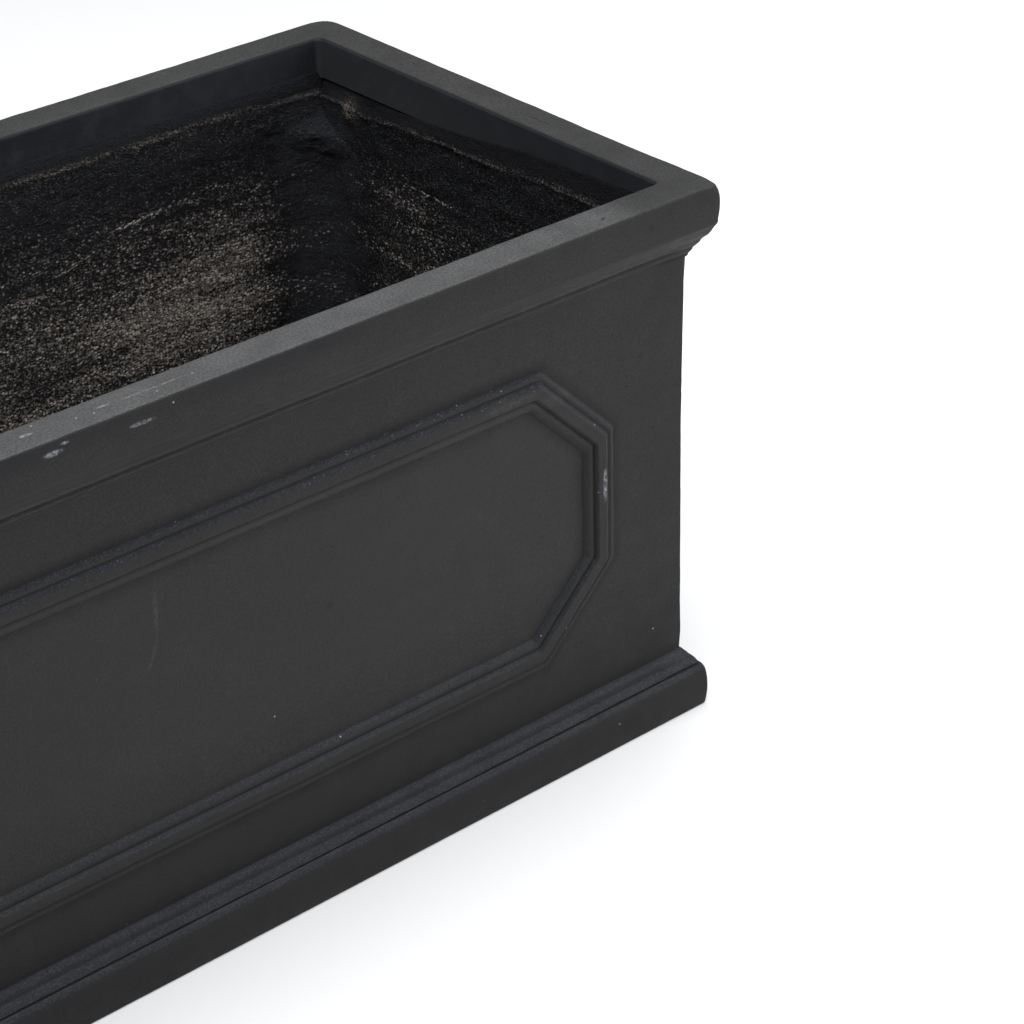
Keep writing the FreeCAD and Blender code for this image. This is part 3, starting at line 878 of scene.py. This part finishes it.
def mortar_finish():
    """Coarse dark mortar, trowelled along the wall, with sand that lies in rows and thickens low down, and
    painted highlights on its folds, grains and corners.
    """
    material, tree = bare_finish("rough_mortar")
    place = node(tree, "ShaderNodeTexCoord").outputs["Object"]
    across, deep, _ = node(tree, "ShaderNodeSeparateXYZ", {0: place}).outputs
    end_far = sums("ABSOLUTE", across)
    side_far = sums("ABSOLUTE", deep)
    on_side = ranged(end_far, 0.452, 0.460)
    ridge = marked(tree, "ridge")
    thin = marked(tree, "thin")

    def strokes(along_scale, up_scale, detail, rough):
        """Cloud noise drawn out along the wall, with numbers of clouds to the metre both ways."""
        scale = (along_scale, along_scale, up_scale)
        made = node(tree, "ShaderNodeMapping", {"Vector": place, "Scale": scale})
        return cloudy(made.outputs[0], 1.0, detail, rough)

    folds = strokes(26.0, 70.0, 4.0, 0.6)
    lumps = strokes(130.0, 200.0, 5.0, 0.75)
    grains = strokes(520.0, 680.0, 2.0, 0.7)
    rows = strokes(6.0, 60.0, 3.0, 0.6)
    colour = mixed(
        ranged(lumps, 0.36, 0.66), (0.0020, 0.0023, 0.0036, 1), (0.0088, 0.0095, 0.0128, 1))
    # Paler bluish folds and pale grains: partly the mortar's own colour, partly painted highlights on the
    # trowelled facets
    colour = mixed(ranged(folds, 0.55, 0.72, 0.0, 0.35), colour, (0.024, 0.025, 0.030, 1))
    colour = mixed(ranged(grains, 0.54, 0.67, 0.0, 0.9), colour, (0.070, 0.070, 0.076, 1))

    # Painted light: the corners are paler and a little bluer, where the packed mortar catches the light
    corner = product(ranged(end_far, 0.415, 0.445), ranged(side_far, 0.125, 0.150))
    colour = mixed(product(corner, 0.6), colour, (0.0340, 0.0350, 0.0410, 1))

    sandy, bias, crowd = sand_spread(place, rows, on_side)
    sand = ranged(sums("ADD", grains, bias), 0.79, 0.93)
    sand = product(sand, sums("MULTIPLY_ADD", sandy, 0.35, 0.5))
    colour = mixed(sand, colour, (0.232, 0.201, 0.176, 1))

    # The largest grains catch the light one by one
    cells = node(tree, "ShaderNodeMapping", {"Vector": place, "Scale": (400.0, 400.0, 650.0)}).outputs[0]
    grain_far, grain_pick = dotted(cells, 1.0)
    spare = sums("SUBTRACT", crowd, grain_pick)
    bright = product(ranged(grain_far, 0.58, 0.36), ranged(spare, 0.0, 0.35, 0.0, 1.0))
    bright = product(bright, ranged(spare, 0.0, 0.02))
    colour = mixed(bright, colour, (0.56, 0.50, 0.44, 1))

    # Above the ridge the coat thins out to the tone of the lip
    edge_tone = mixed(on_side, (0.0068, 0.0074, 0.0108, 1), (0.0026, 0.0027, 0.0036, 1))
    edge_tone = mixed(ranged(thin, 0.30, 0.95), (0.0026, 0.0028, 0.0040, 1), edge_tone)
    colour = mixed(ranged(thin, 0.02, 0.25, 0.0, 0.92), colour, edge_tone)
    broken = ranged(grains, 0.42, 0.62)
    faint = sums("MAXIMUM", ranged(end_far, 0.44, 0.34, 0.35, 1.0), on_side)
    tan = product(product(ridge, broken), faint)
    colour = mixed(tan, colour, (0.260, 0.218, 0.165, 1))
    relief = sums("MULTIPLY_ADD", lumps, 1.2, sums("MULTIPLY_ADD", grains, 0.9, folds))
    relief = product(relief, ranged(thin, 0.0, 1.0, 1.0, 0.4))
    rough = ranged(thin, 0.0, 0.6, 0.62, 0.85)
    surfaced(colour, rough, relief, 1.0, 0.0040, **{"Specular IOR Level": 0.22})
    return material


mortar = mortar_finish()

# Each coat's side and seed, its feather edge and ridge by height, how sharp the ridge is, and its lumps
coats = (
    ("front_coat", 0, 11, ((-1.0, 376), (1.0, 374)), ((-1.0, 362), (1.0, 361)), 0.6, ()),
    ("right_coat", 1, 21,
     ((-1.0, 386), (-0.72, 384.7), (-0.25, 380), (0.14, 372.7), (0.53, 367), (1.0, 367)),
     ((-1.0, 366), (-0.43, 367), (-0.28, 363.5), (0.11, 361.3), (0.37, 360.6), (0.71, 356), (0.86, 359),
      (1.0, 358)),
     0.9, ((142.0, 354.5, 6.5, 3.5),)),
    ("back_coat", 2, 31,
     ((-1.0, 374), (-0.82, 376.5), (-0.66, 375.6), (-0.41, 376.6), (1.0, 375.6)),
     ((-1.0, 359), (-0.92, 361.6), (-0.81, 364.8), (1.0, 365)), 0.42, ()),
    ("left_coat", 3, 41, ((-1.0, 375), (1.0, 378)), ((-1.0, 360), (1.0, 363)), 0.6, ()),
)
for coat_name, side, seed, feather, ridge, sharp, lumps in coats:
    coat = wall_coat(coat_name, side, seed, feather, ridge, sharp, lumps)
    coat.data.materials.append(mortar)
    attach(coat, "planter")
    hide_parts(coat_name.replace("_coat", "_backing"))

# Corner fillets: the same mortar packed by hand into each inside corner to stiffen it.
# Each hollow fillet is broad at the floor and narrow above, and ends in a lumpy arch pressed on both walls.

# Height, and how far the packing reaches along the long and the short wall there
fillet_legs = [
    (36.0, 61.0, 53.0), (208.0, 41.0, 30.0), (261.0, 30.0, 24.0), (306.0, 22.0, 21.0), (318.0, 24.0, 24.0),
    (326.0, 28.0, 30.0), (332.0, 33.0, 34.0), (336.0, 34.0, 32.0), (340.0, 28.0, 25.0), (344.0, 19.0, 17.0),
    (348.0, 10.0, 9.0), (353.0, 2.0, 2.0),
]
fillet_high = fillet_legs[-1][0]
fillet_cells = 28
fillet_hold = 0.14
fillet_back = 11.0
cap_low = 306.0
cap_middle = 333.0
cap_hold = 0.16
cap_fall = 9.0


def corner_pack(name, x_way, y_way, seed):
    """A packed corner with a leg along both walls at each height."""
    shank = np.linspace(coat_foot, cap_low, 84)
    cap = np.linspace(cap_low + 1.5, fillet_high, 46)
    heights = np.concatenate([shank, cap])
    count = len(heights)
    levels, x_legs, y_legs = zip(*fillet_legs)
    walk = np.stack([np.zeros(count), np.full(count, 19.0 * seed), heights], axis=1)
    x_wander = 1.0 + 0.08 * waves(walk, 28.0, seed) + 0.08 * waves(walk, 9.0, seed + 1)
    y_wander = 1.0 + 0.08 * waves(walk, 31.0, seed + 2) + 0.08 * waves(walk, 8.0, seed + 3)
    x_leg = np.interp(heights, levels, x_legs) * x_wander
    y_leg = np.interp(heights, levels, y_legs) * y_wander
    share = np.linspace(0.0, 1.0, fillet_cells)[None, :]
    hold = np.interp(heights, (cap_low - 4.0, cap_middle - 3.0), (fillet_hold, cap_hold))[:, None]
    middle = 2.0 * share * (1.0 - share) * hold
    x_far = coat_face - 0.6 + x_leg[:, None] * ((1.0 - share) ** 2 + middle)
    y_far = coat_face - 0.6 + y_leg[:, None] * (share ** 2 + middle)
    capped = np.clip((heights[:, None] - cap_low + 6.0) / 25.0, 0.0, 1.0)
    up = heights[:, None] - cap_fall * share ** 1.5 * capped
    flat = np.stack([x_far, y_far, up], axis=-1).reshape(-1, 3)
    rough = 1.3 * waves(flat, 24.0, seed + 4) + waves(flat, 8.0, seed + 5) + 0.6 * waves(flat, 4.0, seed + 6)
    rough = rough.reshape(x_far.shape) * np.sin(math.pi * np.clip(share, 0.03, 0.97))
    rough = rough * (1.0 + 0.8 * np.exp(-((heights - cap_middle) / 13.0) ** 2))[:, None]
    rough = rough * np.clip((fillet_high - heights) / 5.0, 0.1, 1.0)[:, None]
    ends = np.full((count, 1), fillet_back)
    x_far = np.concatenate([ends, x_far[:, :1], x_far + 0.7 * rough, ends], axis=1)
    y_far = np.concatenate([ends, ends, y_far + 0.7 * rough, y_far[:, -1:]], axis=1)
    up = np.concatenate([heights[:, None], up[:, :1], up, up[:, -1:]], axis=1)
    placed = np.stack([x_way * (half_length - x_far), y_way * (half_depth - y_far), up], axis=-1)
    points, faces = lofted(placed)
    return piece(name, points, faces)


inside_corners = (
    ("front_left", -1, -1, 51), ("front_right", 1, -1, 61),
    ("back_left", -1, 1, 71), ("back_right", 1, 1, 81),
)
for fillet_name, x_way, y_way, seed in inside_corners:
    fillet = corner_pack("packed_corner_" + fillet_name, x_way, y_way, seed)
    fillet.data.materials.append(mortar)
    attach(fillet, "planter")
    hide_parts("corner_fillet_" + fillet_name)

# Floor coat: the same mortar laid over the base mat and floated by hand round the three drains.
# It is kept level close to each sleeve, so that a plug's flange can seat there.

laid_low, laid_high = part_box("floor_backing")
floor_top = laid_high.z * to_mm
floor_under = laid_low.z * to_mm + 0.2
floor_length = laid_high.x * to_mm
floor_depth = laid_high.y * to_mm
drain_pitch = 300.0
drain_hole = 17.1
drain_level = 24.0
drain_blend = 15.0
share_edge = 0.5 * drain_pitch
floor_rings = 26


def floor_cell(middle, low, high):
    """Points round a drain, from its hole out to the border of its share of the floor."""
    steps = 24
    run = np.arange(steps) / steps
    corners = [(low, -floor_depth), (high, -floor_depth), (high, floor_depth), (low, floor_depth)]
    border = np.concatenate([
        np.array(a) + (np.array(b) - np.array(a)) * run[:, None]
        for a, b in zip(corners, corners[1:] + corners[:1])])
    away = border - np.array([middle, 0.0])
    hole = np.array([middle, 0.0]) + away / np.hypot(*away.T)[:, None] * drain_hole
    share = (np.arange(floor_rings) / (floor_rings - 1.0)) ** 1.35
    return hole[:, None, :] + (border - hole)[:, None, :] * share[None, :, None]


floor_points = []
floor_faces = []
floor_count = 0
floor_shares = (
    (-drain_pitch, -floor_length, -share_edge),
    (0.0, -share_edge, share_edge),
    (drain_pitch, share_edge, floor_length),
)
for middle, low, high in floor_shares:
    flat = floor_cell(middle, low, high)
    stops = len(flat)
    spots = np.concatenate([flat.reshape(-1, 2), np.zeros((flat.shape[0] * flat.shape[1], 1))], axis=1)
    level = 0.9 * waves(spots, 55.0, 91) + 0.6 * waves(spots, 15.0, 92) + 0.4 * waves(spots, 6.0, 93)
    drain_far = np.hypot(spots[:, 0] - middle, spots[:, 1])
    uneven = np.clip((drain_far - drain_level) / drain_blend, 0.0, 1.0)
    level = floor_top - 0.15 + uneven * (level - 0.3)
    top = np.concatenate([flat, level.reshape(stops, floor_rings, 1)], axis=2)
    under = np.concatenate([flat[:, ::-1], np.full((stops, floor_rings, 1), floor_under)], axis=2)
    loop = np.concatenate([top, under], axis=1)
    faces = net(stops, 2 * floor_rings, floor_count, round_rows=True, round_columns=True)
    points = loop.reshape(-1, 3)
    shared = abs(abs(points[:, 0]) - share_edge) < 0.01
    open_side = shared[faces - floor_count].all(axis=1)
    floor_points.append(points)
    floor_faces.append(faces[~open_side])
    floor_count += len(points)
floor_coat = piece("floor_coat", np.concatenate(floor_points), np.concatenate(floor_faces), weld=0.02)
floor_coat.data.materials.append(mortar)
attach(floor_coat, "planter")
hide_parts("floor_backing")

# Drain sleeves: three short cuts of grey plastic pipe, set in the mould before the base is cast.
# The cement grips their outside, and each keeps a clean round hole for its plug.

sleeve_outline = [
    (15.0, 18.7), (15.3, 18.2), (15.8, 18.0), (16.4, 18.0), (16.9, 18.3), (17.0, 18.8),
    (17.0, 42.5), (16.8, 43.0), (16.4, 43.2), (15.7, 43.2), (15.2, 43.0), (15.0, 42.5), (15.0, 30.0)]


def turned(name, outline, middle, closed, segments=64):
    """A piece turned about an upright axis from an outline of radius and height."""
    turn = np.linspace(0.0, 2.0 * math.pi, segments, endpoint=False)
    outline = np.array(outline)
    ring = np.stack([np.cos(turn), np.sin(turn), np.zeros(segments)], axis=1)
    points = ring[:, None, :] * outline[None, :, :1] + outline[None, :, 1:] * np.array([0.0, 0.0, 1.0])
    points[:, :, 0] += middle
    faces = net(segments, len(outline), round_rows=True, round_columns=closed)
    return piece(name, points.reshape(-1, 3), faces, weld=0.005)


def plain_finish(name, dark, light, rough, scale, depth=0.0003):
    """A plain moulded material, a little cloudy and a little uneven."""
    material, tree = bare_finish(name)
    place = node(tree, "ShaderNodeTexCoord").outputs["Object"]
    clouds = cloudy(place, scale, 4.0, 0.6)
    colour = mixed(ranged(clouds, 0.3, 0.7), dark, light)
    uneven = ranged(clouds, 0.3, 0.7, rough - 0.05, rough + 0.08)
    surfaced(colour, uneven, clouds, 0.3, depth)
    return material


pipe_plastic = plain_finish(
    "grey_pipe_plastic", (0.16, 0.17, 0.18, 1), (0.22, 0.23, 0.24, 1), 0.45, 180.0)
drains = (("left", -drain_pitch), ("middle", 0.0), ("right", drain_pitch))
for drain_name, middle in drains:
    sleeve = turned("drain_pipe_" + drain_name, sleeve_outline, middle, True)
    sleeve.data.materials.append(pipe_plastic)
    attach(sleeve, "planter")
    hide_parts("drain_sleeve_" + drain_name)

# Drain plugs: three moulded rubber stoppers that close the drains when the trough stands indoors.
# Each seats by its flange and its tapered shank, and pulls straight up by its knob.

plug_outline = [
    (0.0, 31.5), (10.5, 31.5), (12.6, 31.8), (13.3, 32.6), (13.6, 35.0), (13.55, 36.0), (13.9, 37.0),
    (14.1, 39.5), (14.05, 40.4), (14.4, 41.2), (14.7, 43.5), (22.0, 43.5), (22.8, 43.8), (23.0, 44.6),
    (22.6, 45.6), (21.0, 46.4), (12.0, 46.9), (7.0, 47.1), (5.4, 47.8), (5.0, 48.8), (5.0, 51.2),
    (5.5, 52.3), (6.6, 52.8), (7.8, 53.1), (8.4, 53.9), (8.5, 55.2), (8.3, 56.7), (7.5, 57.6),
    (5.5, 58.0), (0.0, 58.1)]
rubber = plain_finish("black_rubber", (0.018, 0.018, 0.019, 1), (0.030, 0.030, 0.031, 1), 0.55, 260.0)
for drain_name, middle in drains:
    plug = turned("rubber_plug_" + drain_name, plug_outline, middle, False)
    plug.data.materials.append(rubber)
    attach(plug, drain_name + "_plug")
    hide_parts("drain_plug_" + drain_name)

# Studio: a pale seamless floor under a wide soft lamp, with a second soft lamp in front on the right.
# The room itself is dim and a little blue, so the sides that face left stay dark.

stage_half = 9000.0
studio_floor = piece(
    "studio_floor",
    [(-stage_half, -stage_half, -0.4), (stage_half, -stage_half, -0.4),
     (stage_half, stage_half, -0.4), (-stage_half, stage_half, -0.4)],
    [(0, 1, 2, 3)])
floor_paint, tree = bare_finish("pale_floor")
shader = node(tree, "ShaderNodeBsdfPrincipled", {
    "Base Color": (0.88, 0.88, 0.88, 1), "Roughness": 0.9, "Specular IOR Level": 0.1})
node(tree, "ShaderNodeOutputMaterial", {0: shader.outputs[0]})
studio_floor.data.materials.append(floor_paint)

room = bpy.data.worlds.new("dim_room")
room.use_nodes = True
room_light = room.node_tree.nodes["Background"]
room_light.inputs["Color"].default_value = (0.93, 0.96, 1.0, 1)
room_light.inputs["Strength"].default_value = 0.22
bpy.context.scene.world = room


def soft_lamp(name, place, aim, size, power, colour):
    """A square softbox at a place, aimed at a point."""
    data = bpy.data.lights.new(name, "AREA")
    data.shape = "SQUARE"
    data.size = size
    data.energy = power
    data.color = colour
    lamp = bpy.data.objects.new(name, data)
    lamp.location = place
    lamp.rotation_euler = (Vector(aim) - Vector(place)).to_track_quat("-Z", "Y").to_euler()
    bpy.context.scene.collection.objects.link(lamp)


soft_lamp("overhead_softbox", (0.1, -0.3, 3.2), (0.1, 0.0, 0.3), 3.6, 165.0, (0.97, 0.98, 1.0))
soft_lamp("right_softbox", (2.3, -1.7, 1.0), (0.3, -0.1, 0.25), 1.8, 42.0, (1.0, 0.99, 0.98))

# The camera stands where the photograph was taken: in front, to the left and above
eye = Vector((-0.6878, -1.4116, 1.1365))
yaw, pitch, roll = 0.6963, 0.5252, 0.0256
ahead = Vector((math.sin(yaw) * math.cos(pitch), math.cos(yaw) * math.cos(pitch), -math.sin(pitch)))
level = Vector((math.cos(yaw), -math.sin(yaw), 0.0))
down = ahead.cross(level)
right = level * math.cos(roll) + down * math.sin(roll)
down = down * math.cos(roll) - level * math.sin(roll)
camera_data = bpy.data.cameras.new("photo_view")
camera_data.sensor_width = 36.0
camera_data.lens = 100.23
camera_data.clip_end = 40.0
camera = bpy.data.objects.new("photo_view", camera_data)
camera.matrix_world = Matrix((
    (right.x, -down.x, -ahead.x, eye.x),
    (right.y, -down.y, -ahead.y, eye.y),
    (right.z, -down.z, -ahead.z, eye.z),
    (0.0, 0.0, 0.0, 1.0)))
bpy.context.scene.collection.objects.link(camera)
bpy.context.scene.camera = camera
bpy.context.scene.view_settings.view_transform = "Standard"
